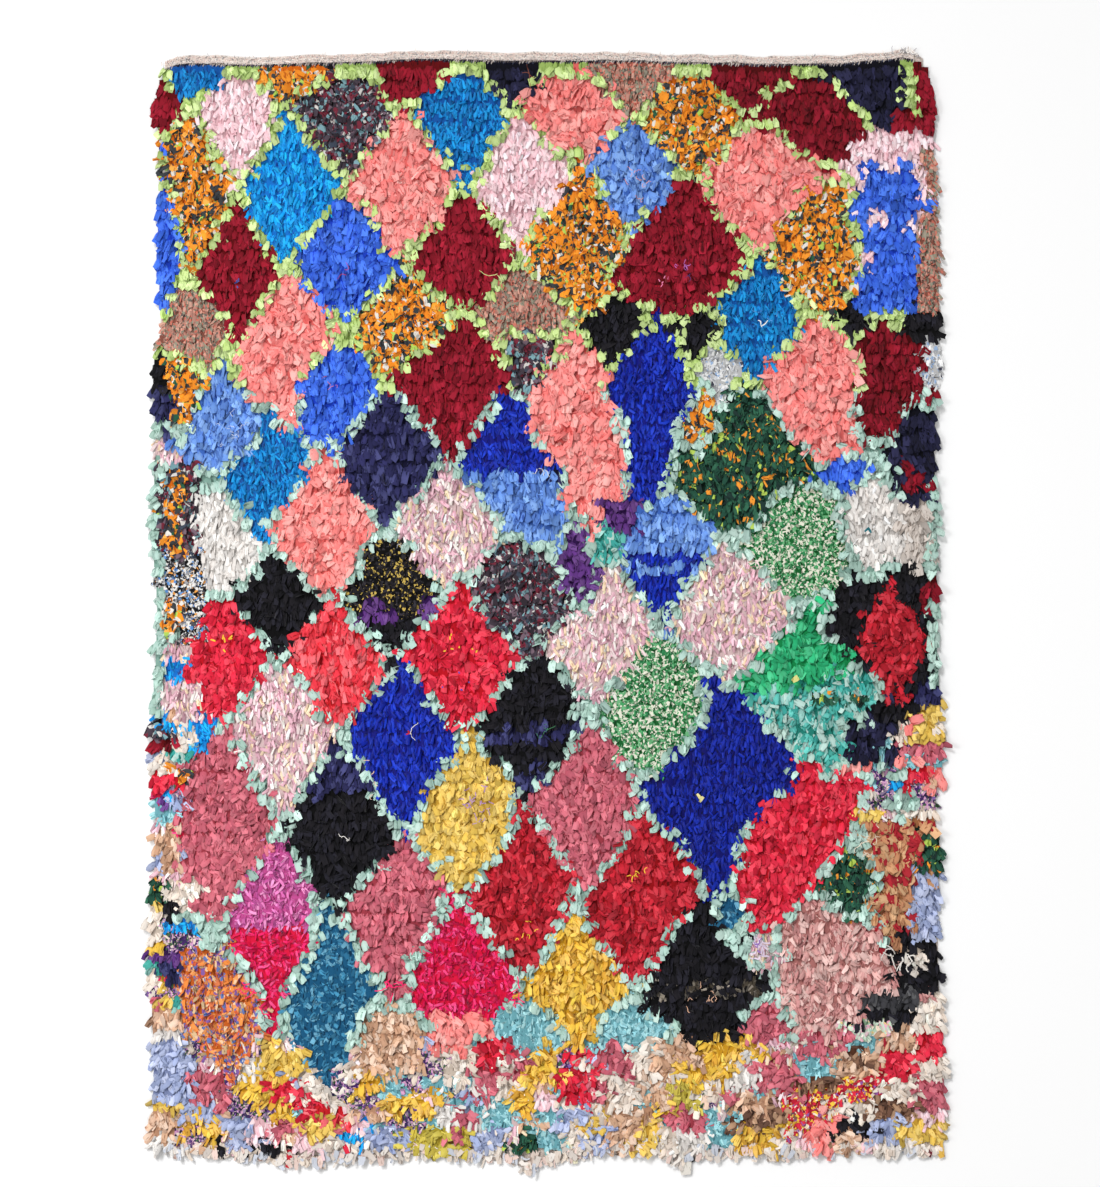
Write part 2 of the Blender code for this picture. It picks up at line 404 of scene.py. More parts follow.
# Then the patches that stand out from it, the later ones over the earlier.
PATCHES = rows_of("""
# rag       left  right  top  bottom
# the left selvedge
hotpink -1 0.6 65.5 66.2
darkprint 0.6 2.8 65.9 67.5
azure 2.4 9 65.7 66.9
cream 3.7 6 66.3 68.4
azure 6 8.6 66.7 68.4
maroon -1 2.8 67.5 69
turquoise 2.3 6.5 68.4 69.6
cream -1 2.8 69.4 71.2
crimson 1.4 3.7 71 72.2
orangeprint 3.7 5.4 70.6 71.8
hotpink -1 1.4 72.2 73.4
purple 0.4 2.3 73.4 74.4
aqua 0.2 3.4 74.4 76.1
peach 0.5 4.2 76.4 78.7
lavender -1 4.4 78.7 81
peach 2.2 4.2 79.2 80.6
mottled -1 4.8 80.8 82.2
forest -1 3 82.2 83.4
cream 3 7 82.2 85
mustard -1 2 83.4 85.2
black 2 4.3 83.9 85.4
azure 2.5 7.6 85.4 86.6
cream -1 2.5 85.4 87.2
plumfetti 3 7 86.6 88.8
gold 0.3 2.5 87.3 88.9
purple -1 4.3 88.9 90.1
navy 1 4 90.1 91.5
cream -1 2 91.3 92.5
plumfetti 1 4.4 92.3 93.5
rose -1 2.1 93.5 95.1
peach -1 4.4 95.1 96.9
white -1 4 96.9 98
# the right selvedge
navy 105.8 109.2 62 64
black 100.9 109.4 63.6 66
mustard 109.3 113 63.4 65.6
mustard 106 110.6 65 67.6
cream 109 113 65.6 66.8
rose 106 113 67.6 69.3
midnight 97.6 104.4 66 69.4
aqua 99.1 113 69.3 70.9
mint 101 105 70.2 71.4
coral 97 99.8 69.5 70.5
crimson 105 108.5 70.9 72
coral 108.5 112 71 72.8
azure 103.6 105.4 71.6 72.6
plumfetti 100.9 103.8 70.9 74.6
plumfetti 105.4 109 72.2 73.4
forest 110.6 113 73.8 78.3
forest 107.4 113 77 80.4
lavender 107 113 80.8 87.2
black 104 112.8 87.2 92.6
cream 107.4 108.6 88.6 91.4
charcoal 100.3 106.8 92.4 95
black 98.5 106.8 95 96
cream 106.8 112 93.2 96.6
mintprint 97 107.2 96 97.5
crimson 107.3 113 96.6 99.6
# the end below the last lozenges, from the left
lavender -1 6 98 103.8
mustard 15 23 98.5 101.2
rose 5.5 11 100.5 104.2
plumfetti 10.5 13.5 101.5 104.2
gold 12.5 19.5 100.8 104.2
mustard -1 5 103.8 104.9
peach -1 4.6 104.9 107.2
lavender 5 10 103.8 105.5
rose 9.6 12 103.8 105.4
plumfetti 11.6 17 104.2 106.3
gold 4.4 10.8 105.5 107.2
lavender 10.5 15 105.6 108.4
palepink 14 17 105.9 107.8
plumfetti 4 8.4 107.1 108.5
white -1 4 107.1 109
black 8.4 10 107.2 108.8
black 14.4 20 107.9 109.2
crimson 16.5 21 101.5 103.9
crimson 20.4 24.2 103.5 105.3
gold 16.8 20.4 103.7 105.6
cream 20.8 25 100.9 103.8
plumfetti 24.6 28.7 101 103.6
cream 23.8 28.3 103.6 104.9
plumfetti 28.7 32.2 103.5 105.1
tomato 23.8 28 104.9 105.9
rose 17 21.5 105.4 106.9
mustard 21.5 26 106 107.4
azure 26.8 30.2 106.2 107.8
palepink 20 23.5 107.4 109
cream 23.5 30.3 107.8 109
crimson 26.2 27.6 107.6 109
peach 28.7 38.5 98 100.8
brown 31.5 34 98.8 99.8
gold 28.7 32.2 100.6 103.3
aqua 32.2 36.3 100.7 103.5
plumfetti 35.8 38 101 103.3
gold 31.8 40.5 103.3 105.4
plumfetti 32.6 37.2 105.3 106.9
lavender 30.3 35.5 106.9 109
olive 35.5 44.5 107 108.7
# the middle
coral 38.6 46.3 97.4 98.7
aqua 44.6 70.5 97.4 98.6
plumfetti 38 41 99 101.7
cream 41 45.3 98.6 102
crimson 45.3 49.2 98 100.4
rose 49.3 53.2 98.6 100.4
rose 44.8 48.5 100.1 103.7
cream 47.8 51.2 100 104
gold 53 57 98.4 102.1
aqua 37.8 40.8 101.8 102.8
aqua 40.6 43 102.8 104.5
white 40 42.9 104.4 106.4
lavender 43 45.2 103.4 104.8
aqua 45 50.8 103.8 106.2
rose 42.4 45 104.8 106.8
gold 50.8 53.2 101.2 105.2
palepink 53.2 55.6 103.2 105
peach 50.7 53.5 105.2 106.8
lavender 44.8 48.9 106.6 109
forest 50.2 54 106.8 109.2
plumfetti 56.5 59.7 98.4 100.7
crimson 59.7 63.2 98.2 99.8
rose 62.4 67 98.6 101.3
cream 67 71 98.2 101
peach 70.6 77.2 97.4 100.7
brown 73.4 76 98.2 99.2
crimson 57.2 61.5 100.6 104.1
rose 60.7 63.6 101 103.4
cream 63.2 67.6 101.2 105.2
peach 67.6 72 101 104.1
gold 70.6 72.7 103.7 105.9
peach 63.2 70.6 104.6 107.1
lavender 57.2 59.3 105.2 106.8
mustard 60.7 63.2 105.2 106.5
lavender 61 64 106.5 108.9
aqua 53.6 57.2 105 108.8
cream 57.6 60.7 106.6 109
mustard 67.6 71.5 106 109
# the right
gold 76.6 85 97.4 100.2
mottled 85 90.5 97.4 99.4
gold 72.8 80.3 100.2 102.2
white 80.5 84.2 99.6 102.6
rose 84.2 90.6 99.5 102.9
olive 72.2 76.3 102.1 104.4
cream 76 80.3 102.1 103.5
rose 78.6 84.2 102.7 104.1
aqua 84.2 88.2 102.2 103.3
aqua 79.8 83.8 103.6 105
brown 81 89.4 103.6 106.4
peach 82.6 86.6 103.2 105.2
rose 72.2 77.6 104.2 106.8
aqua 77.2 82 105 108.4
white 73.4 78 106.5 109
gold 82.3 88.5 106.4 109
rose 90.6 97.6 96.9 99.3
aqua 97.2 102.8 96.9 99
peach 102 107.4 96.9 98.8
aqua 90.4 95.4 99.3 102
peach 95.3 102 99 101.7
brown 97 99.6 99 99.9
crimson 101.6 107.2 98.9 102
cream 107.2 113 99 101.6
brown 90.2 95 101.8 103
sprigged 95 101.4 101.7 103.6
cream 101.2 106.4 102 103.6
rose 106.4 113 101.6 104.9
sprigged 89.2 95.2 103 106.8
cream 95.2 101.2 103.6 105.4
brown 100.8 106.4 103.6 105.4
palepink 106.4 113 104.8 106
black 95.4 100.6 105.4 107
coral 92.4 95.2 105.6 108.8
lavender 100.6 104.6 105.4 107.4
mustard 104.6 113 106 107.6
""")

# ---------------------------------------------------------------- threads and cut ends
# Stray threads and flecks of cloth caught in the pile, each row a group of them.
STRAY_HEIGHT = 0.0285
STRAYS = rows_of("""
# colour   col   row  spread  count  length  width  wander
190,110,190 75 19.7 1.2 5 0.018 0.0011 0.9
236,130,170 71.8 21.6 0.8 5 0.006 0.002 0.3
60,60,120 75.4 20.4 1 2 0.016 0.001 0.8
150,84,60 53.6 1.6 0.6 3 0.03 0.001 0.3
70,130,90 56 65.4 0.8 2 0.045 0.0011 0.6
176,140,186 45.4 72.6 2.6 16 0.011 0.0019 0.4
186,150,190 46 74.8 2.4 9 0.01 0.0017 0.4
232,228,220 36.4 66.4 0.8 2 0.022 0.0011 0.6
196,40,50 36 66.2 0.3 2 0.006 0.003 0.1
236,232,226 27 76.4 1.4 3 0.016 0.0012 0.9
232,196,178 30.6 70.6 1.6 4 0.012 0.0014 0.6
240,190,60 43 57 3 7 0.005 0.003 0.1
240,190,60 9.6 57 1.6 6 0.008 0.003 0.1
70,80,170 42.6 61.6 2.4 4 0.004 0.003 0.1
240,190,60 68 80.2 1.2 6 0.012 0.0018 0.6
240,190,60 52.6 86 1.8 5 0.01 0.0018 0.5
226,216,150 78.2 72.6 0.3 2 0.012 0.006 0
226,222,140 91.4 60.6 0.2 1 0.017 0.011 0
40,110,120 101.7 45.9 0.2 2 0.009 0.0045 0
90,150,215 88 25 2.4 3 0.016 0.0014 0.7
236,240,240 86 26 0.6 2 0.014 0.0022 0.5
225,160,150 67.6 11.4 2.6 10 0.014 0.0012 0.8
200,208,226 10.4 36 2.4 10 0.018 0.001 0.9
190,60,90 26.4 20.4 0.6 2 0.018 0.001 0.5
60,90,160 11 21.6 0.8 4 0.006 0.0026 0.2
214,224,150 48.4 20.6 0.3 2 0.03 0.0012 0.3
236,150,160 92 10.8 2.6 7 0.012 0.0012 0.7
250,40,110 14 92.6 2 8 0.024 0.0022 0.6
250,40,110 33.8 91.6 1.6 8 0.024 0.0022 0.6
250,40,110 51 92.6 1.4 7 0.024 0.0022 0.6
222,206,226 86.6 88.2 1.6 12 0.018 0.003 0.5
150,110,190 86 87.4 1 5 0.012 0.0024 0.5
232,216,196 100.6 77.4 2.4 9 0.022 0.0013 0.8
226,220,214 106 88.6 2 9 0.026 0.0022 0.4
224,178,150 78 93 3 8 0.012 0.0013 0.7
190,190,196 38 46.6 3 8 0.016 0.0012 0.8
230,226,220 55 40 1.4 3 0.016 0.0012 0.7
200,120,150 24.4 30.6 2.4 4 0.012 0.0012 0.6
""")

# The ragged end: its cut ends, and its long tags by their share of the rug's width.
FRINGE = 420
FRINGE_DYES = colours_of("228,214,200 216,202,190 234,226,218 206,196,188 202,206,216 230,204,194")
TAG_HEIGHT = 0.007
TAGS = rows_of("""
# colour   across  back  length  width  turn
228,210,198 0.487 0.034 0.05 0.013 -0.25
150,200,200 0.497 0.046 0.04 0.01 0.05
226,220,190 0.527 0.034 0.044 0.012 0.2
234,228,218 0.672 0.036 0.052 0.026 -0.2
230,222,212 0.69 0.036 0.04 0.02 0.1
236,230,222 0.655 0.03 0.034 0.016 -0.3
240,138,130 0.852 0.03 0.044 0.011 0.1
228,216,204 0.758 0.028 0.036 0.014 0.15
206,40,56 0.181 0.03 0.034 0.011 0.1
34,32,36 0.128 0.026 0.03 0.01 -0.1
34,32,36 0.62 0.034 0.03 0.006 0.15
232,186,84 0.985 0.03 0.034 0.015 0.2
120,50,60 0.975 0.02 0.024 0.006 0.05
""")

# The bare band at the woven end: weft cords, then twined warp loops, and the fuzz on them.
CORDS = 6
CORD_PITCH = 0.0024
CORD_RADIUS = 0.0016
CORD_HEIGHT = 0.0036
BAND_RISE = 0.004             # the first cord lies this far past the outline of the woven end
BAND_STOP = 0.036             # the band ends this far short of the corner at +X
WARP_LOOPS = 330
LOOP_LENGTH = 0.0062
LOOP_RADIUS = 0.0011
LOOP_START = 0.005            # past the outline. The loops start CORDS pitches short of it
LOOP_HEIGHT = 0.0040
LOOP_ARCH = 0.0036
LOOP_LEAN = 0.0016
LOOP_DYES = colours_of("232,228,222 206,202,200 88,96,120 30,32,58 30,32,58")
TUFTS = 620                   # short hairs
TUFT_HEIGHT = 0.0056
TUFT_WIDTH = 0.0014
TUFT_DYES = colours_of("236,228,220 222,214,208 242,234,226 228,212,204 184,180,182 246,240,234")
FRAY = 26                     # frayed warps where the band ends
FRAY_X = 0.664
FRAY_HEIGHT = 0.0066
FRAY_WIDTH = 0.0016


# ---------------------------------------------------------------- the rug's outline, from the CAD
EDGE_BINS = 60                # stretches of the length in which the edges are looked up
FULL_WIDTH = 1.0              # a stretch narrower than this holds loose tags and no edge
BENT_ROWS = 6.0               # the first rows follow the woven end, each less than the one before
WOVEN_REACH = 0.04            # the woven end wanders within this of the box's end
RAGGED_REACH = 0.07           # and the ragged end within this


def rug_edges():
    """Left and right edge by Y, then the woven and the ragged end by X."""
    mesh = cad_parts["rug"].data
    co = np.empty(len(mesh.vertices) * 3)
    mesh.vertices.foreach_get("co", co)
    co = co.reshape(-1, 3)
    floor = np.unique(np.round(co[co[:, 2] < 1e-4][:, :2], 5), axis=0)
    bins = np.linspace(cad_box[0][1], cad_box[1][1], EDGE_BINS)
    middles, left, right = [], [], []
    for low, high in zip(bins, bins[1:]):
        inside = floor[(floor[:, 1] >= low) & (floor[:, 1] <= high)]
        if len(inside) >= 2 and inside[:, 0].max() - inside[:, 0].min() > FULL_WIDTH:
            middles.append((low + high) / 2.0)
            left.append(inside[:, 0].min())
            right.append(inside[:, 0].max())
    ends = []
    for near in (floor[:, 1] > cad_box[1][1] - WOVEN_REACH, floor[:, 1] < cad_box[0][1] + RAGGED_REACH):
        end = floor[near]
        end = end[np.argsort(end[:, 0])]
        ends += [end[:, 0], end[:, 1]]
    return np.array(middles), np.array(left), np.array(right), *ends


EDGE_Y, EDGE_LEFT, EDGE_RIGHT, WOVEN_X, WOVEN_END, RAGGED_X, RAGGED_END = rug_edges()
WOVEN_Y = cad_box[1][1] - 0.010   # a mean line through the woven end, which wanders


def place(col, row):
    """Plan position of a knot: col from the left selvedge, row from the woven end."""
    y = WOVEN_Y - FIRST_ROW - row * ROW_PITCH
    left = np.interp(y, EDGE_Y, EDGE_LEFT) + SELVEDGE_INSET
    right = np.interp(y, EDGE_Y, EDGE_RIGHT) - SELVEDGE_INSET
    x = left + (right - left) * (col + 0.5) / KNOTS_ACROSS
    near_end = np.clip(1.0 - np.asarray(row) / BENT_ROWS, 0.0, 1.0)
    return x, y + (np.interp(x, WOVEN_X, WOVEN_END) - WOVEN_Y) * near_end


# ---------------------------------------------------------------- which rag each knot takes
SCRAPS_LEFT = 4.5             # scraps may cover lozenges left of this column
SCRAPS_RIGHT = 98.0           # and right of this one
NAMES = list(RAGS)
CODE = {name: code for code, name in enumerate(NAMES)}


def lozenge_reach(across, down, half, up_rows, down_rows):
    """0 at a lozenge's middle and 1 at its edge, for knots that lie across and down from it."""
    return np.abs(across) / half + np.abs(down) / np.where(down < 0.0, up_rows, down_rows)


def chart_knots():
    """Returns col, row and rag code of every knot."""
    row, col = np.meshgrid(np.arange(ROWS), np.arange(KNOTS_ACROSS), indexing="ij")
    row = row.ravel().astype(float)
    col = col.ravel().astype(float)
    inset = SELVEDGE_INSET / (cad_box[1][0] - cad_box[0][0])
    chart_col = (inset + (1.0 - 2.0 * inset) * (col + 0.5) / KNOTS_ACROSS) * KNOTS_ACROSS - 0.5
    # The weaver's miscounts, in knots and rows
    seen_col = chart_col + 0.25 * np.sin(0.9 * row + 0.35 * col) + RANDOM.normal(0.0, 0.08, len(col))
    seen_row = row + HANG + 0.22 * np.sin(1.3 * col) + RANDOM.normal(0.0, 0.08, len(row))

    # Each knot belongs to the lozenge that it is deepest in, and is outline where the next
    # lozenge is nearly as near.
    reach = np.empty((len(CHART), len(col)))
    for index, (_, at_col, at_row, half, up, down, lean) in enumerate(CHART):
        below = seen_row - at_row
        reach[index] = lozenge_reach(seen_col - at_col - lean * below, below, half, up, down)
    order = np.argsort(reach, axis=0)[:2]
    first = np.take_along_axis(reach, order[:1], axis=0)[0]
    second = np.take_along_axis(reach, order[1:], axis=0)[0]
    rag = np.array([CODE[entry[0]] for entry in CHART])[order[0]]
    half_widths = np.array([entry[3] for entry in CHART])
    slope = 1.0 / half_widths[order[0]] + 1.0 / half_widths[order[1]]

    def block(left, right, top, bottom):
        """The knots that show between these sides."""
        across = (seen_col > left) & (seen_col < right)
        return across & (seen_row > top - 0.5) & (seen_row < bottom - 0.5)

    for name, over, *sides in BANDS:
        rag[block(*sides) & (rag == CODE[over])] = CODE[name]

    outline = (second - first) < OUTLINE_HALF * slope
    lime = seen_row < LIME_ROWS
    rag[outline & lime] = CODE["lime"]
    rag[outline & ~lime] = CODE["mint"]

    for name, *sides in BLOCKS:
        rag[block(*sides)] = CODE[name]
    for name, at_col, at_row, half, up, down in INSETS:
        inside = lozenge_reach(seen_col - at_col, seen_row - at_row, half, up, down) < 1.0
        rag[inside] = CODE[name]

    # Scraps have looser edges. They lie outside the lozenges, and over them at the selvedges.
    loose_col = seen_col + RANDOM.normal(0.0, 0.45, len(col))
    loose_row = seen_row + RANDOM.normal(0.0, 0.18, len(row))
    outside = (first > 1.0) | (chart_col < SCRAPS_LEFT) | (chart_col > SCRAPS_RIGHT)

    def patch(left, right, top, bottom):
        """The scrap knots between these sides, which wander."""
        across = (loose_col > left) & (loose_col < right)
        return outside & across & (loose_row > top - 0.5) & (loose_row < bottom - 0.5)

    for left, right, top, bottom, wide, tall, rags in SCRAPS:
        inside = patch(left, right, top, bottom)
        choices = np.array([CODE[name] for name in rags.split()])
        course = np.floor((seen_row - top) / tall).astype(int)
        brick = np.floor((seen_col - left) / wide + 0.37 * course).astype(int)
        drawn = RANDOM.integers(0, len(choices), (80, 80))
        rag[inside] = choices[drawn[course[inside] % 80, brick[inside] % 80]]
    for name, *sides in PATCHES:
        rag[patch(*sides)] = CODE[name]
    return col, row, rag


# ---------------------------------------------------------------- strips
def width_profile(tips, steps):
    """Share of the full width at each step along each strip, from knot to tip."""
    along = np.linspace(0.0, 1.0, steps + 1)
    opening = 0.62 + 0.38 * np.minimum(1.0, along / 0.4)
    closing = np.clip((along - 0.65) / 0.35, 0.0, 1.0) ** 2
    return opening * (1.0 - (1.0 - tips)[:, None] * closing)


def strip_points(kind, x, y, turn, size, lift, droop, roll, curl, bend):
    """Vertices of many strips at once: an array of strips by steps along by points across."""
    count = len(x)
    steps = kind.along
    at_middle = (np.arange(steps) + 0.5) / steps
    at_vertex = np.linspace(0.0, 1.0, steps + 1)

    def pitch_at(share):
        return lift[:, None] + (droop - lift)[:, None] * share ** 0.7

    def turn_at(share):
        return turn[:, None] + bend[:, None] * (share - 0.2)

    stride = (kind.length * size / steps)[:, None]
    pitch = pitch_at(at_middle)
    heading = turn_at(at_middle)
    move = np.stack([
        stride * np.cos(pitch) * np.sin(heading),
        -stride * np.cos(pitch) * np.cos(heading),
        stride * np.sin(pitch),
    ], axis=2)
    centre = np.concatenate([np.zeros((count, 1, 3)), np.cumsum(move, axis=1)], axis=1)
    foot = WEAVE_TOP - 0.001 + kind.raised
    centre += np.stack([x, y, np.full(count, foot)], axis=1)[:, None, :]

    pitch = pitch_at(at_vertex)
    heading = turn_at(at_vertex)
    level_side = np.stack([np.cos(heading), np.sin(heading), np.zeros_like(pitch)], axis=2)
    level_normal = np.stack([
        -np.sin(pitch) * np.sin(heading),
        np.sin(pitch) * np.cos(heading),
        np.cos(pitch),
    ], axis=2)
    spin = (roll[:, None] * (0.3 + 0.7 * at_vertex))[..., None]
    side = level_side * np.cos(spin) + level_normal * np.sin(spin)
    normal = level_normal * np.cos(spin) - level_side * np.sin(spin)

    across = np.linspace(-1.0, 1.0, kind.across + 1)
    tips = np.clip(kind.tip + RANDOM.normal(0.0, 0.16, count), 0.3, 1.0)
    half = (kind.width / 2.0 * np.sqrt(size))[:, None, None] * width_profile(tips, steps)[..., None]
    out = half * across * (1.0 - 0.2 * np.abs(curl)[:, None, None] * across ** 2)
    phase = RANDOM.uniform(0.0, 6.3, (count, 1, 1))
    crumple = 0.10 * kind.width * np.sin(phase + 3.4 * across + 6.0 * at_vertex[None, :, None])
    zigzag = np.where(np.arange(kind.across + 1) % 2 == 0, -1.0, 1.0)
    depth = kind.pleat * RANDOM.uniform(0.3, 1.6, (count, 1, 1)) * (0.4 + 0.6 * at_vertex[None, :, None])
    crumple = crumple + depth * zigzag
    fall = half * curl[:, None, None] * across ** 2
    points = centre[:, :, None, :] + side[:, :, None, :] * out[..., None]
    points += normal[:, :, None, :] * (crumple - fall)[..., None]
    over = np.maximum(points[..., 2] - PILE_SOFT_TOP, 0.0)
    room = PILE_CEILING - PILE_SOFT_TOP
    pressed = PILE_SOFT_TOP + room * (1.0 - np.exp(-over / room))
    points[..., 2] = np.where(over > 0.0, pressed, np.maximum(points[..., 2], WEAVE_TOP * 0.6))
    return points


def strip_places(kind, knot_col, knot_row, slot):
    """Foot of each strip: beside the others of its knot, in a row that wavers."""
    x, y = place(knot_col, knot_row)
    count = len(x)
    beside = (slot - (kind.strips - 1) / 2.0) * (KNOT_PITCH / kind.strips)
    x = x + beside + RANDOM.normal(0.0, 0.0016, count)
    waver = RANDOM.normal(0.0, ROW_WAVER, (ROWS, ROW_STRETCHES + 1))
    along_row = knot_col / KNOTS_ACROSS * float(ROW_STRETCHES)
    stretch = along_row.astype(int)
    share = along_row - stretch
    of_row = knot_row.astype(int)
    y = y + waver[of_row, stretch] * (1.0 - share) + waver[of_row, stretch + 1] * share
    return x, y + RANDOM.normal(0.0, kind.loose, count) - 0.0014 * (slot % 2)


def strip_turns(kind, knot_col, knot_row):
    """How far each strip turns aside from straight down the rug. Selvedge strips lean outward."""
    count = len(knot_col)
    turn = RANDOM.normal(0.0, kind.spread, count)
    wild = RANDOM.random(count) < WILD_SHARE
    turn = np.where(wild, turn * WILD_TURN, turn)
    turn = np.where(knot_row > RAGGED_ROW, turn * RAGGED_TURN, turn)
    at_selvedge = np.minimum(knot_col, KNOTS_ACROSS - 1 - knot_col) < SELVEDGE_KNOTS
    calm = at_selvedge | (knot_row < 1.0)
    turn = np.where(calm, np.clip(turn, -CALM_TURN, CALM_TURN), turn)
    outward = np.where(knot_col < KNOTS_ACROSS / 2.0, -1.0, 1.0)
    return turn + outward * np.where(at_selvedge, RANDOM.uniform(-0.1, 0.4, count), 0.0)


def strip_dyes_and_shade(kind, rag):
    """Linear colour of every vertex: a dye of the strip's rag, with painted shade at its root and its rims.
    """
    dye = np.empty((len(rag), 3))
    for code in np.unique(rag):
        mine = np.flatnonzero(rag == code)
        dyes = to_linear(RAGS[NAMES[code]].dyes)
        dye[mine] = dyes[RANDOM.integers(0, len(dyes), len(mine))]
    dye *= np.clip(RANDOM.normal(1.0, 0.15, (len(rag), 1)), 0.62, 1.35)
    # Painted shade at the root: the dye is deepened and dimmed near the knot, less and less along the
    # strip.
    root = np.clip(1.0 - np.linspace(0.0, 1.0, kind.along + 1) / ROOT_SHADE_SHARE, 0.0, 1.0)[:, None, None]
    # Painted shade along the rims: each strip's edges are up to a tenth darker.
    rim = 1.0 - 0.10 * np.abs(np.linspace(-1.0, 1.0, kind.across + 1))[:, None] ** 3
    dye = np.minimum(dye, 1.0)[:, None, None, :]
    return dye ** (1.0 + (ROOT_SHADE_POWER - 1.0) * root) * (1.0 + (ROOT_SHADE_DIM - 1.0) * root) * rim


def strips_of(kind, col, row, rag):
    """All strips of one kind: their points, dyes with painted shade, cloth coordinates and rag codes."""
    slot = np.tile(np.arange(kind.strips), len(col))
    knot_col, knot_row, rag = (np.repeat(value, kind.strips) for value in (col, row, rag))
    count = len(rag)
    x, y = strip_places(kind, knot_col, knot_row, slot)
    turn = strip_turns(kind, knot_col, knot_row)
    size = RANDOM.uniform(0.84, 1.16, count)
    lift = RANDOM.normal(1.05, 0.16, count) * kind.rise
    droop = RANDOM.normal(-0.32, 0.22, count)
    roll = RANDOM.normal(0.0, 0.42, count) + np.where(RANDOM.random(count) < 0.15, 0.9, 0.0)
    curl = kind.curl * RANDOM.uniform(0.3, 1.4, count) * np.where(RANDOM.random(count) < 0.2, -0.7, 1.0)
    bend = RANDOM.normal(0.0, 0.45 + 0.5 * (kind.across == 1), count)
    points = strip_points(kind, x, y, turn, size, lift, droop, roll, curl, bend)
    dye = strip_dyes_and_shade(kind, rag)

    # Cloth coordinates run over each strip in metres, from a place of its own.
    seed = RANDOM.random(count)
    across = np.linspace(-0.5, 0.5, kind.across + 1) * kind.width
    along = np.linspace(0.0, 1.0, kind.along + 1) * kind.length
    cloth = np.empty(points.shape)
    cloth[..., 0] = across[None, None, :] + seed[:, None, None] * 7.0
    cloth[..., 1] = along[None, :, None] + (seed[:, None, None] * 97.0) % 5.0
    cloth[..., 2] = seed[:, None, None]
    return points, dye, cloth, rag


def collars_of(col, row, rag):
    """The knots themselves, arched over their warps, which close the ground under the strips, in their
    rag's dye with painted shade.
    """
    x, y = place(col, row)
    count = len(x)
    across = np.linspace(-1.0, 1.0, 3)
    along = np.array([0.35, -0.65])
    points = np.empty((count, 2, 3, 3))
    points[..., 0] = x[:, None, None] + across[None, None, :] * COLLAR_WIDTH / 2.0
    points[..., 1] = y[:, None, None] + along[None, :, None] * COLLAR_LENGTH
    high = WEAVE_TOP + COLLAR_LIFT + RANDOM.uniform(0.0, 0.002, count)
    points[..., 2] = high[:, None, None] + COLLAR_ARCH * (1.0 - across[None, None, :] ** 2)
    dye = np.empty((count, 3))
    for code in np.unique(rag):
        # Painted shade on the knots: the first dye of each rag, deepened by a power and dimmed.
        dye[rag == code] = to_linear(RAGS[NAMES[code]].dyes[0]) ** KNOT_SHADE_POWER * KNOT_SHADE_DIM
    dye = np.broadcast_to(dye[:, None, None, :], points.shape)
    cloth = points.copy()
    cloth[..., 2] = RANDOM.random(count)[:, None, None]
    return points, dye, cloth, rag


def join_strips(name, batches, materials):
    """Makes one mesh of batches of strips. Each batch: points, dyes, cloth places, material index."""
    total = sum(len(points) for points, *_ in batches)
    cells = math.ceil(math.sqrt(total))
    vertices, dyes, cloths, atlas, quads, slots = [], [], [], [], [], []
    start = 0
    done = 0
    for points, dye, cloth, slot in batches:
        count, rows, cols, _ = points.shape
        vertices.append(points.reshape(-1, 3))
        cloths.append(cloth.reshape(-1, 3))
        dyes.append(dye.reshape(-1, 3))
        cell = done + np.arange(count)
        u = (cell % cells)[:, None, None] + np.linspace(0.08, 0.92, cols)[None, None, :]
        v = (cell // cells)[:, None, None] + np.linspace(0.08, 0.92, rows)[None, :, None]
        u, v = np.broadcast_arrays(u, v)
        atlas.append(np.stack([u, v], axis=3).reshape(-1, 2) / cells)
        grid = start + np.arange(count * rows * cols).reshape(count, rows, cols)
        corners = [grid[:, :-1, :-1], grid[:, :-1, 1:], grid[:, 1:, 1:], grid[:, 1:, :-1]]
        quads.append(np.stack(corners, axis=3).reshape(-1, 4))
        slots.append(np.repeat(slot, (rows - 1) * (cols - 1)))
        start += count * rows * cols
        done += count
    vertices, dyes, cloths, atlas, quads, slots = map(
        np.concatenate, (vertices, dyes, cloths, atlas, quads, slots)
    )
    mesh = bpy.data.meshes.new(name)
    mesh.vertices.add(len(vertices))
    mesh.vertices.foreach_set("co", vertices.ravel())
    mesh.loops.add(quads.size)
    mesh.loops.foreach_set("vertex_index", quads.ravel().astype(np.int32))
    mesh.polygons.add(len(quads))
    mesh.polygons.foreach_set("loop_start", np.arange(0, quads.size, 4, dtype=np.int32))
    for material in materials:
        mesh.materials.append(material)
    mesh.polygons.foreach_set("material_index", slots.astype(np.int32))
    mesh.polygons.foreach_set("use_smooth", np.ones(len(quads), dtype=bool))
    layer = mesh.uv_layers.new(name="OFBake")
    layer.uv.foreach_set("vector", atlas[quads.ravel()].ravel())
    # The dye attribute holds each vertex's dye, and in the pile the painted shade of knots, strip roots and
    # rims.
    dye_and_shade_layer = mesh.attributes.new("dye", "FLOAT_COLOR", "POINT")
    dye_and_shade_layer.data.foreach_set("color", np.hstack([dyes, np.ones((len(dyes), 1))]).ravel())
    cloth_layer = mesh.attributes.new("cloth", "FLOAT_VECTOR", "POINT")
    cloth_layer.data.foreach_set("vector", cloths.ravel())
    mesh.update()
    mesh.validate()
    return add_object(name, mesh)


# ---------------------------------------------------------------- threads, cut ends and cords
def drawn_dyes(dyes, count, start=0):
    """Linear colours of so many threads, drawn from the dyes from the given one on."""
    return to_linear(dyes)[RANDOM.integers(start, len(dyes), count)]


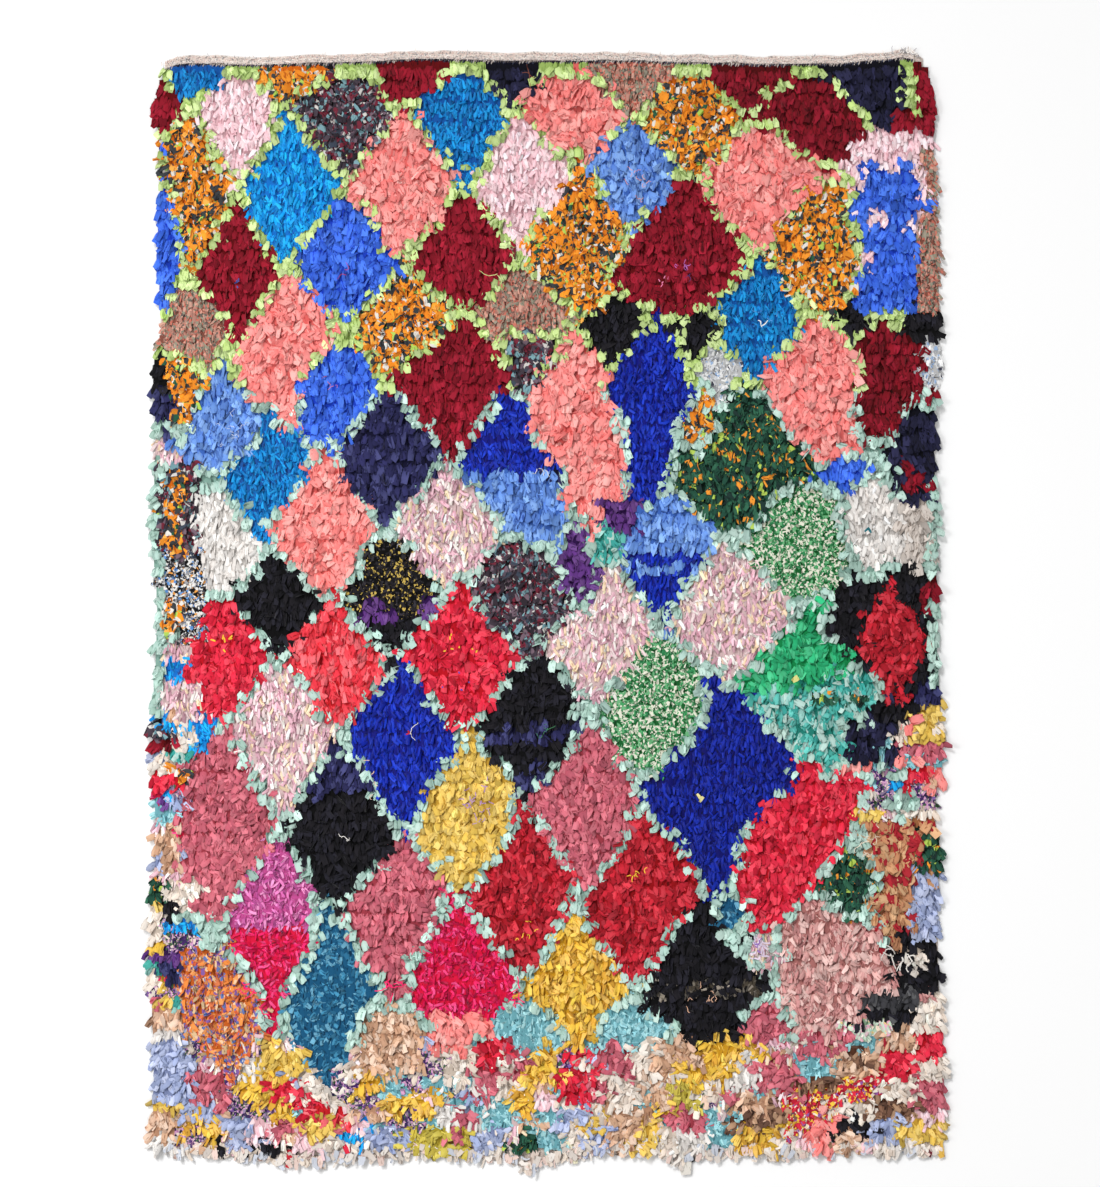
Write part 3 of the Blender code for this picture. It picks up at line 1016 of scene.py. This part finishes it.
def ribbons(x, y, high, turn, length, width, wander, dye, steps):
    """Thin flat strips that lie on the pile or the floor: a batch for join_strips.

    Any value after x may be one number for all strips.
    """
    count = len(x)
    y, high, turn, length, width, wander = (
        np.broadcast_to(value, count) for value in (y, high, turn, length, width, wander)
    )
    swerve = RANDOM.normal(0.0, 1.0, (count, steps)) * wander[:, None]
    heading = turn[:, None] + np.cumsum(swerve, axis=1)
    stride = (length / steps)[:, None]
    path = np.zeros((count, steps + 1, 3))
    path[:, 1:, 0] = np.cumsum(stride * np.sin(heading), axis=1)
    path[:, 1:, 1] = -np.cumsum(stride * np.cos(heading), axis=1)
    path += np.stack([x, y, high], axis=1)[:, None, :]
    path[..., 2] += RANDOM.normal(0.0, 0.0006, (count, steps + 1))
    heading = np.concatenate([heading[:, :1], heading], axis=1)
    taper = 1.0 - 0.35 * np.linspace(0.0, 1.0, steps + 1) ** 3
    half = (width / 2.0)[:, None] * taper[None, :]
    side = np.stack([np.cos(heading), np.sin(heading), np.zeros_like(heading)], axis=2)
    points = np.stack([path - side * half[..., None], path + side * half[..., None]], axis=2)
    shade = RANDOM.uniform(0.85, 1.1, (count, 1, 1, 1))
    dyes = np.broadcast_to(dye[:, None, None, :] * shade, points.shape)
    cloth = points.copy()
    cloth[..., 2] = RANDOM.random(count)[:, None, None]
    return points, dyes, cloth, np.zeros(count, dtype=int)


def stray_threads():
    """Batches of the threads and flecks on the pile."""
    batches = []
    for colour, at_col, at_row, spread, count, length, width, wander in STRAYS:
        count = int(count)
        x, y = place(np.full(count, at_col), np.full(count, at_row))
        x = x + RANDOM.normal(0.0, spread * KNOT_PITCH / 2.0, count)
        y = y + RANDOM.normal(0.0, spread * KNOT_PITCH / 2.0, count)
        turn = RANDOM.uniform(0.0, 6.28, count)
        lengths = length * RANDOM.uniform(0.7, 1.3, count)
        steps = 7 if wander > 0.2 else 2
        dye = np.tile(to_linear(colours_of(colour)), (count, 1))
        batches.append(ribbons(x, y, STRAY_HEIGHT, turn, lengths, width, wander, dye, steps))
    return batches


def ragged_end():
    """Batches of the cut ends along the ragged end, and of its long tags."""
    x = np.linspace(EDGE_LEFT[-1] + 0.02, EDGE_RIGHT[-1] - 0.02, FRINGE)
    x = x + RANDOM.normal(0.0, 0.004, FRINGE)
    end = np.interp(x, RAGGED_X, RAGGED_END)
    high = RANDOM.uniform(0.004, 0.012, FRINGE)
    turn = RANDOM.normal(0.0, 0.50, FRINGE)
    width = RANDOM.uniform(0.003, 0.014, FRINGE)
    length = RANDOM.uniform(0.012, 0.026, FRINGE)
    back = RANDOM.uniform(0.010, 0.026, FRINGE)
    dye = drawn_dyes(FRINGE_DYES, FRINGE)
    batches = [ribbons(x, end + back, high, turn, length, width, 0.30, dye, 3)]
    for colour, across, back, length, width, turn in TAGS:
        x = np.array([cad_box[0][0] + across * (cad_box[1][0] - cad_box[0][0])])
        y = np.interp(x, RAGGED_X, RAGGED_END) + back
        dye = to_linear(colours_of(colour))
        batches.append(ribbons(x, y, TAG_HEIGHT, turn, length, width, 0.10, dye, 5))
    return batches


def band_fuzz():
    """Batches of the short hairs on the bare band, and of the frayed warps where it ends."""
    x = np.linspace(WOVEN_X.min() + 0.012, WOVEN_X.max() - BAND_STOP, TUFTS)
    x = x + RANDOM.normal(0.0, 0.006, TUFTS)
    end = np.interp(x, WOVEN_X, WOVEN_END)
    turn = RANDOM.normal(0.0, 0.5, TUFTS) + np.where(RANDOM.random(TUFTS) < 0.15, 3.14, 1.5)
    dye = drawn_dyes(TUFT_DYES, TUFTS)
    y = end + BAND_RISE - RANDOM.uniform(0.0, 0.013, TUFTS)
    length = RANDOM.uniform(0.003, 0.009, TUFTS)
    hairs = ribbons(x, y, TUFT_HEIGHT, turn, length, TUFT_WIDTH, 0.35, dye, 3)

    x = RANDOM.normal(FRAY_X, 0.010, FRAY)
    end = np.interp(x, WOVEN_X, WOVEN_END)
    dye = drawn_dyes(TUFT_DYES, FRAY, start=3)
    turn = RANDOM.normal(3.14, 0.7, FRAY)
    length = RANDOM.uniform(0.006, 0.016, FRAY)
    return [hairs, ribbons(x, end, FRAY_HEIGHT, turn, length, FRAY_WIDTH, 0.4, dye, 4)]


def tubes(paths, radius, dyes, sides):
    """Round cords along many paths at once, open at both ends: a batch for join_strips."""
    count, steps, _ = paths.shape
    ahead = np.gradient(paths, axis=1)
    ahead /= np.linalg.norm(ahead, axis=2, keepdims=True)
    up = np.array([0.0, 0.0, 1.0]) if abs(ahead[..., 2]).max() < 0.7 else np.array([1.0, 0.0, 0.0])
    side = np.cross(ahead, up)
    side /= np.linalg.norm(side, axis=2, keepdims=True)
    over = np.cross(side, ahead)
    angle = np.linspace(0.0, 2.0 * np.pi, sides + 1)
    ring = side[:, :, None, :] * np.cos(angle)[:, None] + over[:, :, None, :] * np.sin(angle)[:, None]
    points = paths[:, :, None, :] + ring * radius
    dyes = np.broadcast_to(dyes[:, None, None, :], points.shape)
    return points, dyes, points.copy(), np.zeros(count, dtype=int)


def woven_band():
    """Batches of the bare band: weft cords side by side, then twined warp loops."""
    x = np.linspace(WOVEN_X.min() + 0.010, WOVEN_X.max() - BAND_STOP, 200)
    end = np.interp(x, WOVEN_X, WOVEN_END)
    wave = np.interp(x, np.linspace(x[0], x[-1], 60), RANDOM.normal(0.0, 0.0012, 60))
    paths = []
    for number in range(CORDS):
        wobble = np.interp(x, np.linspace(x[0], x[-1], 90), RANDOM.normal(0.0, 0.0004, 90))
        y = end + wave + BAND_RISE - number * CORD_PITCH + wobble
        paths.append(np.stack([x, y, CORD_HEIGHT + RANDOM.normal(0.0, 0.0003, len(x))], axis=1))
    dyes = to_linear(TUFT_DYES)[RANDOM.integers(0, 4, CORDS)]
    cords = tubes(np.array(paths), CORD_RADIUS, dyes, 6)

    x = np.linspace(x[0], x[-1], WARP_LOOPS) + RANDOM.normal(0.0, 0.0006, WARP_LOOPS)
    end = np.interp(x, WOVEN_X, WOVEN_END) + LOOP_START - CORDS * CORD_PITCH
    arc = np.linspace(0.0, np.pi, 5)
    along = end[:, None] - LOOP_LENGTH * (0.5 - 0.5 * np.cos(arc))[None, :]
    high = np.broadcast_to(LOOP_HEIGHT + LOOP_ARCH * np.sin(arc), along.shape)
    lean = x[:, None] + LOOP_LEAN * np.cos(arc)[None, :]
    loops = tubes(np.stack([lean, along, high], axis=2), LOOP_RADIUS, drawn_dyes(LOOP_DYES, WARP_LOOPS), 4)
    return [cords, loops]


# ---------------------------------------------------------------- materials
class Nodes:
    """A material being wired: short calls for the nodes that the cloths share."""

    def __init__(self, name):
        self.material = bpy.data.materials.new(name)
        self.material.use_nodes = True
        self.tree = self.material.node_tree
        self.shader = self.tree.nodes["Principled BSDF"]

    def feed(self, socket, value):
        """Links a node's output to the socket, or gives the socket a fixed value."""
        if isinstance(value, bpy.types.NodeSocket):
            self.tree.links.new(value, socket)
        elif socket.type == "RGBA":
            socket.default_value = (*value, 1.0)
        else:
            socket.default_value = value

    def add(self, kind, inputs=None, **settings):
        """Adds a node with these settings and these inputs, by name or by number."""
        node = self.tree.nodes.new(kind)
        for key, value in settings.items():
            setattr(node, key, value)
        for key, value in (inputs or {}).items():
            self.feed(node.inputs[key], value)
        return node

    def attribute(self, name, output):
        return self.add("ShaderNodeAttribute", attribute_name=name).outputs[output]

    def math(self, operation, first, second):
        return self.add("ShaderNodeMath", {0: first, 1: second}, operation=operation).outputs[0]

    def mix(self, factor, first, second, blend="MIX"):
        inputs = {0: factor, 6: first, 7: second}
        return self.add("ShaderNodeMix", inputs, data_type="RGBA", blend_type=blend).outputs[2]

    def noise(self, vector, scale, detail=2.0, roughness=0.5):
        inputs = {"Vector": vector, "Scale": scale, "Detail": detail, "Roughness": roughness}
        return self.add("ShaderNodeTexNoise", inputs).outputs["Fac"]

    def ribs(self, vector, direction, scale, distortion):
        inputs = {"Vector": vector, "Scale": scale, "Distortion": distortion}
        bands = {"wave_type": "BANDS", "bands_direction": direction, "wave_profile": "SIN"}
        return self.add("ShaderNodeTexWave", inputs, **bands).outputs["Fac"]

    def ramp(self, factor, stops, interpolation="LINEAR"):
        node = self.add("ShaderNodeValToRGB", {0: factor})
        node.color_ramp.interpolation = interpolation
        elements = node.color_ramp.elements
        while len(elements) < len(stops):
            elements.new(0.5)
        for element, (at, colour) in zip(elements, stops):
            element.position = at
            element.color = (*to_linear(colour), 1.0)
        return node.outputs[0]

    def bump(self, height, strength, distance):
        node = self.add("ShaderNodeBump", {"Height": height, "Strength": strength, "Distance": distance})
        self.feed(self.shader.inputs["Normal"], node.outputs["Normal"])

    def surface(self, colour, roughness, sheen=0.0, specular=0.15):
        values = {
            "Base Color": colour,
            "Roughness": roughness,
            "Sheen Weight": sheen,
            "Specular IOR Level": specular,
        }
        for key, value in values.items():
            self.feed(self.shader.inputs[key], value)

    def patches(self, vector, scale, plain, stops):
        """A print: Voronoi cells, a share of them the dye attribute (dye with the pile's painted shade),
        the others in the stops' colours.
        """
        cells = self.add("ShaderNodeTexVoronoi", {"Vector": vector, "Scale": scale})
        split = self.add("ShaderNodeSeparateColor", {0: cells.outputs["Color"]})
        print_colours = self.ramp(split.outputs[0], stops, "CONSTANT")
        is_print = self.math("GREATER_THAN", split.outputs[1], plain)
        return self.mix(is_print, self.attribute("dye", "Color"), print_colours)


def finish_cloth(nodes, colour, roughness=0.88, sheen=0.08, bump=0.45, crease_dim=0.66, crease_pitch=240.0):
    """Knit ribs, slubs, creases with painted shade in them, and the sheen that every rag has."""
    cloth = nodes.attribute("cloth", "Vector")
    slub = nodes.noise(cloth, 160.0, 3.0, 0.6)
    drawn = nodes.add("ShaderNodeVectorMath", {0: cloth, 1: (1.0, 0.28, 1.0)}, operation="MULTIPLY")
    crease = nodes.noise(drawn.outputs[0], crease_pitch, 2.0, 0.5)
    # Painted shade in the creases: where the crease noise is low the colour is deepened and dimmed.
    crease_shade = nodes.mix(1.0, nodes.mix(0.6, (1.0, 1.0, 1.0), colour), (crease_dim,) * 3, "MULTIPLY")
    line = nodes.ramp(crease, [(0.36, (255, 255, 255)), (0.43, (0, 0, 0))])
    colour = nodes.mix(line, colour, nodes.mix(1.0, colour, crease_shade, "MULTIPLY"))
    nodes.surface(colour, roughness, sheen)
    height = nodes.math("ADD", nodes.math("MULTIPLY", nodes.ribs(cloth, "X", 260.0, 1.2), 0.3), slub)
    height = nodes.math("ADD", nodes.math("MULTIPLY", crease, 2.5), height)
    nodes.bump(height, bump, 0.0006)
    return nodes.material


def plain_cloth(name, **finish):
    """A cloth that shows its strips' dye attribute: their dyes with painted shade at knots, roots and rims.
    """
    nodes = Nodes(name)
    return finish_cloth(nodes, nodes.attribute("dye", "Color"), **finish)


def printed_cloth(name, scale, plain, stops):
    """A printed or speckled cloth: patches of fixed colours among the strip's dye attribute, its dye with
    painted shade.
    """
    nodes = Nodes(name)
    return finish_cloth(nodes, nodes.patches(nodes.attribute("cloth", "Vector"), scale, plain, stops))


def prints_of(text):
    """Prints by name: patches per metre, the share of plain dye, then where each colour starts."""
    prints = {}
    for line in text.strip().splitlines():
        name, scale, plain, *stops = line.split()
        stops = [stop.split(":") for stop in stops]
        stops = [(float(start), colours_of(colour)[0]) for start, colour in stops]
        prints[name] = float(scale), float(plain), stops
    return prints


PRINTS = prints_of("""
print_orange 95 0.54 0:56,60,64 0.52:220,216,208 0.7:246,176,80 0.82:172,205,90 0.92:40,88,64
print_dark 95 0.42 0:112,38,54 0.3:120,158,166 0.48:112,92,104 0.74:206,202,198 0.84:58,66,80
print_forest 62 0.66 0:50,104,80 0.3:28,50,46 0.66:236,150,50 0.84:178,204,90
print_leaf 195 0.36 0:104,172,120 0.36:222,222,204 0.84:40,112,66
print_goldfleck 200 0.72 0:196,168,84 0.44:50,47,52
print_bluedot 150 0.55 0:206,208,212 0.5:150,176,210 0.75:160,162,166 0.92:70,70,84
print_confetti 130 0.62 0:130,90,158 0.3:234,196,158 0.54:95,115,172 0.74:205,95,62
print_plum 200 0.36 0:208,156,194 0.34:66,96,66 0.58:224,206,196 0.8:52,42,82
print_salt 210 0.45 0:222,220,216 0.55:90,140,200 0.72:150,150,155 0.88:220,150,70
print_sprig 150 0.6 0:240,196,70 0.5:150,90,160 0.75:240,225,205
speckled_pink 220 0.45 0:230,166,188 0.36:240,232,222 0.72:208,182,186 0.9:228,200,136
speckled_taupe 190 0.5 0:196,112,96 0.34:142,138,120 0.66:212,156,138 0.86:100,92,86
""")


def cloth_materials():
    """The materials of all cloths, by name."""
    made = {
        "jersey": plain_cloth("rag_jersey"),
        "satin": plain_cloth("rag_satin", roughness=0.5, sheen=0.0, crease_dim=0.55, crease_pitch=270.0),
        "fleece": plain_cloth("rag_fleece", roughness=0.95, sheen=0.15, bump=0.5, crease_dim=0.86),
    }
    for name, settings in PRINTS.items():
        made[name] = printed_cloth("rag_" + name, *settings)
    return made


def yarn():
    """Spun wool and cotton: heathered flecks and a twist along the cord."""
    nodes = Nodes("yarn")
    fleck = nodes.noise(nodes.attribute("cloth", "Vector"), 300.0, 2.0, 0.7)
    tint = nodes.ramp(fleck, [
        (0.34, (120, 118, 126)), (0.44, (228, 222, 220)), (0.54, (255, 253, 252)),
        (0.62, (224, 190, 182)), (0.70, (170, 184, 206)),
    ])
    nodes.surface(nodes.mix(1.0, nodes.attribute("dye", "Color"), tint, "MULTIPLY"), 0.95)
    nodes.bump(fleck, 0.6, 0.0006)
    return nodes.material


def wool_weave():
    """The ground weave's heathered wool, ribbed along its wefts."""
    nodes = Nodes("wool_weave")
    spot = nodes.add("ShaderNodeTexCoord").outputs["Object"]
    colour = nodes.ramp(nodes.noise(spot, 420.0, 3.0, 0.8), [
        (0.30, (150, 140, 134)), (0.45, (205, 192, 180)), (0.55, (226, 212, 200)),
        (0.62, (214, 178, 176)), (0.75, (170, 178, 190)),
    ])
    nodes.surface(colour, 0.95, sheen=0.3, specular=0.5)
    nodes.bump(nodes.ribs(spot, "Y", 160.0, 2.0), 0.6, 0.0008)
    return nodes.material


# ---------------------------------------------------------------- the pieces
def pile_pieces():
    """The loose ends, the woven band and the pile, joined by the piece that each rag belongs to."""
    cloths = cloth_materials()
    col, row, rag = chart_knots()
    pieces = {}
    kind_of_knot = np.array([list(KINDS).index(RAGS[name].kind) for name in NAMES])[rag]
    for number, kind in enumerate(KINDS.values()):
        mine = kind_of_knot == number
        if not mine.any():
            continue
        knots = col[mine], row[mine], rag[mine]
        for points, dye, cloth, codes in (strips_of(kind, *knots), collars_of(*knots)):
            for code in np.unique(codes):
                these = codes == code
                of_rag = RAGS[NAMES[code]]
                entry = (points[these], dye[these], cloth[these], of_rag.cloth)
                pieces.setdefault(of_rag.piece, []).append(entry)
    ends = [*stray_threads(), *ragged_end(), *band_fuzz()]
    made = [
        join_strips("loose_ends", ends, [cloths["jersey"]]),
        join_strips("woven_end", woven_band(), [yarn()]),
    ]
    for name, entries in pieces.items():
        used = list(dict.fromkeys(entry[3] for entry in entries))
        batches = [
            (points, dye, cloth, np.full(len(points), used.index(cloth_name)))
            for points, dye, cloth, cloth_name in entries
        ]
        made.append(join_strips(name, batches, [cloths[cloth_name] for cloth_name in used]))
    return made


WEAVE_UNDERSIDE = 0.0004      # heights of the sheet's two faces
WEAVE_UPSIDE = WEAVE_TOP - 0.0006
WEAVE_INSET_LEFT = 0.020      # the pile hangs over the sheet's selvedges by so much
WEAVE_INSET_RIGHT = 0.019
WEAVE_END_SHIFT = 0.003       # both ends lie this far towards +Y of the CAD's


def ground_weave():
    """The woven sheet under the pile, closed, with its bare woven end and ragged other end."""
    across = np.linspace(0.0, 1.0, 240)
    down = np.array([0.0, 0.01, 0.02, 0.05, 0.27, 0.5, 0.73, 0.95, 0.98, 1.0])
    sheet = bmesh.new()
    upper, lower = [], []
    ragged = np.interp(across, np.linspace(0, 1, 150), RANDOM.normal(0.0, 0.0030, 150))
    for share in down:
        level = cad_box[1][1] + (cad_box[0][1] + 0.03 - cad_box[1][1]) * share
        left = np.interp(level, EDGE_Y, EDGE_LEFT) + WEAVE_INSET_LEFT
        right = np.interp(level, EDGE_Y, EDGE_RIGHT) - WEAVE_INSET_RIGHT
        x = left + (right - left) * across
        top = np.interp(x, WOVEN_X, WOVEN_END) + WEAVE_END_SHIFT
        bottom = np.interp(x, RAGGED_X, RAGGED_END) + WEAVE_END_SHIFT + ragged
        y = top + (bottom - top) * share
        for line, high in ((upper, WEAVE_UPSIDE), (lower, WEAVE_UNDERSIDE)):
            line.append([sheet.verts.new((*spot, high)) for spot in zip(x, y)])
    last = len(down) - 1
    end = len(across) - 1
    for j in range(last):
        for i in range(end):
            sheet.faces.new((upper[j][i], upper[j + 1][i], upper[j + 1][i + 1], upper[j][i + 1]))
            sheet.faces.new((lower[j][i], lower[j][i + 1], lower[j + 1][i + 1], lower[j + 1][i]))
    rim = [(j, 0) for j in range(last)] + [(last, i) for i in range(end)]
    rim += [(j, end) for j in range(last, 0, -1)] + [(0, i) for i in range(end, 0, -1)]
    for (j, i), (next_j, next_i) in zip(rim, rim[1:] + rim[:1]):
        sheet.faces.new((upper[next_j][next_i], upper[j][i], lower[j][i], lower[next_j][next_i]))
    bmesh.ops.recalc_face_normals(sheet, faces=sheet.faces)
    mesh = bpy.data.meshes.new("ground_weave")
    sheet.to_mesh(mesh)
    sheet.free()
    mesh.shade_smooth()
    mesh.materials.append(wool_weave())
    return add_object("ground_weave", mesh)


# ---------------------------------------------------------------- stage
FLOOR_HALF = 40.0             # wide enough that no view shows its edge near the rug
CAMERA_PLACE = (0.0055, 0.038, 5.0)
VIEW_WIDTH = 2.035            # width of floor that the camera sees
SENSOR_MM = 36.0


def floor_and_world():
    """A pale floor under an even white sky."""
    world = bpy.data.worlds.new("studio")
    world.use_nodes = True
    world.node_tree.nodes["Background"].inputs["Color"].default_value = (1.0, 1.0, 1.0, 1.0)
    world.node_tree.nodes["Background"].inputs["Strength"].default_value = 0.45
    bpy.context.scene.world = world

    mesh = bpy.data.meshes.new("floor")
    corners = [(x * FLOOR_HALF, y * FLOOR_HALF, 0.0) for x, y in ((-1, -1), (1, -1), (1, 1), (-1, 1))]
    mesh.from_pydata(corners, [], [(0, 1, 2, 3)])
    nodes = Nodes("pale_floor")
    nodes.surface((0.93, 0.93, 0.93), 1.0, specular=0.0)
    mesh.materials.append(nodes.material)
    floor = add_object("floor", mesh)


def lights():
    """Soft daylight from behind the woven end, a weak fill, and a soft box at the left."""
    for name, from_above, strength, softness in (
        ("key_light", (-0.55, 1.0, 1.15), 1.65, 0.22),
        ("fill_light", (1.0, -0.8, 1.6), 0.40, 0.60),
    ):
        sun = bpy.data.lights.new(name, "SUN")
        sun.energy = strength
        sun.angle = softness
        lamp = add_object(name, sun)
        lamp.rotation_euler = Vector(from_above).to_track_quat("Z", "Y").to_euler()

    soft_box = bpy.data.lights.new("soft_box", "AREA")
    soft_box.energy = 26.0
    soft_box.size = 1.0
    lamp = add_object("soft_box", soft_box)
    lamp.location = (-1.6, 0.1, 2.2)
    lamp.rotation_euler = lamp.location.to_track_quat("Z", "Y").to_euler()


def camera():
    """Looks straight down on the rug."""
    optics = bpy.data.cameras.new("camera")
    optics.sensor_width = SENSOR_MM
    optics.sensor_fit = "HORIZONTAL"
    optics.lens = SENSOR_MM * CAMERA_PLACE[2] / VIEW_WIDTH
    shot = add_object("camera", optics)
    shot.location = CAMERA_PLACE
    bpy.context.scene.camera = shot


# ---------------------------------------------------------------- put together
bpy.context.scene.view_settings.view_transform = "Standard"
pile = pile_pieces()
weave = ground_weave()
floor_and_world()
lights()
camera()
for piece in [weave, *pile]:
    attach(piece, "root")
    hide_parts("rug")
